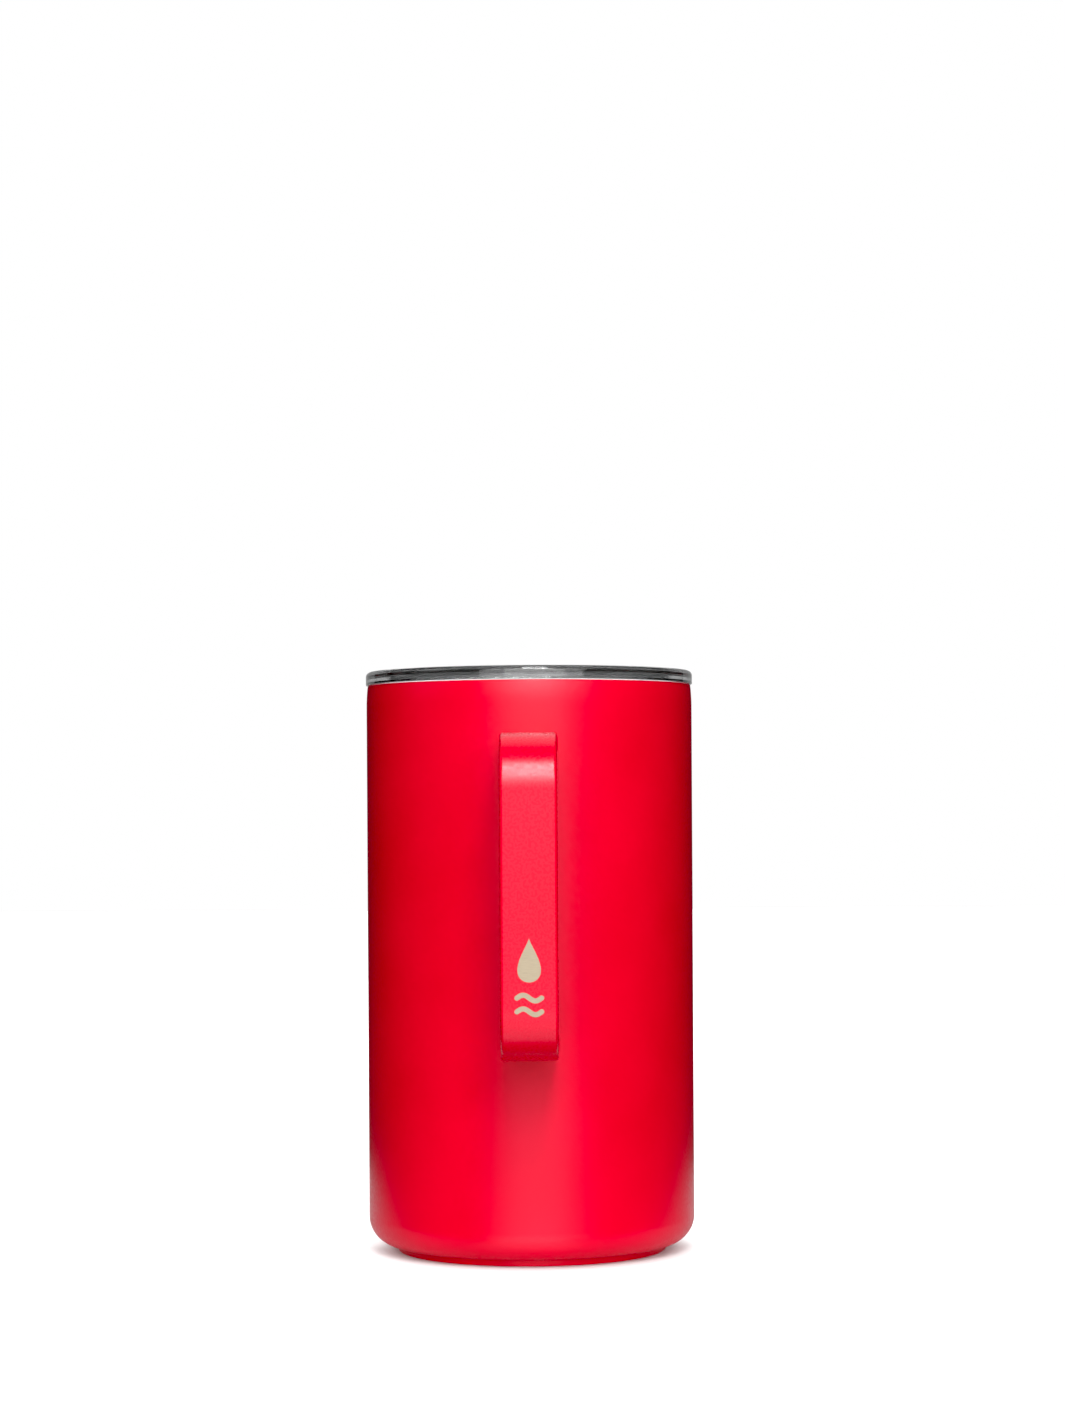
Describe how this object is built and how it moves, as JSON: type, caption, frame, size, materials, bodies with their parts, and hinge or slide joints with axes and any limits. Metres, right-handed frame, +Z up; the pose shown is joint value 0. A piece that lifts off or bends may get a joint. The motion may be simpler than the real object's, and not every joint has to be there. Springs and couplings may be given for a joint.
{
  "type": "insulated travel mug",
  "caption": "Tall straight double-walled steel mug with a flat strap handle, a small stepped-in foot and a clear press-on lid with a sliding drinking hole cover.",
  "frame": {"origin": "on the mug's axis at the level of the table it stands on, under the middle of the base", "axes": "+Z up along the mug's axis, -Y towards the handle, +X to the right of a person facing the handle"},
  "size_m": [0.0864, 0.1232, 0.1526],
  "materials": {
    "powder_coat": "red powder coat with a very fine orange-peel grain, satin",
    "bare_steel": "turned stainless steel with fine lines round the axis",
    "solder_glass": "dark glossy solder glass",
    "getter_metal": "pressed grey powder metal",
    "clear_plastic": "clear, very slightly smoky, polished",
    "silicone": "translucent milky silicone"
  },
  "bodies": {
    "mug": {"outer_shell": "powder_coat", "inner_liner": "bare_steel", "vacuum_closure_disc": "bare_steel", "vacuum_seal_bead": "solder_glass", "getter_pill": "getter_metal", "getter_strap": "bare_steel", "base_cap": "powder_coat", "handle_outer_channel": "powder_coat", "handle_inner_plate": "powder_coat", "upper_handle_tongue": "bare_steel", "lower_handle_tongue": "bare_steel"},
    "gasket": {"lid_gasket": "silicone"},
    "lid": {"lid_cover": "clear_plastic"},
    "slider": {"lid_slider": "clear_plastic"}
  },
  "joints": [
    {"name": "lid_lift", "type": "slide", "parent": "mug", "child": "gasket", "axis": [0, 0, 1], "range_m": [0, 0.04]},
    {"name": "lid_turn", "type": "hinge", "parent": "gasket", "child": "lid", "pos_m": [0, 0, 0.1426], "axis": [0, 0, 1], "continuous": true},
    {"name": "slider_slide", "type": "slide", "parent": "lid", "child": "slider", "axis": [1, 0, 0], "range_m": [0, 0.012]}
  ]
}
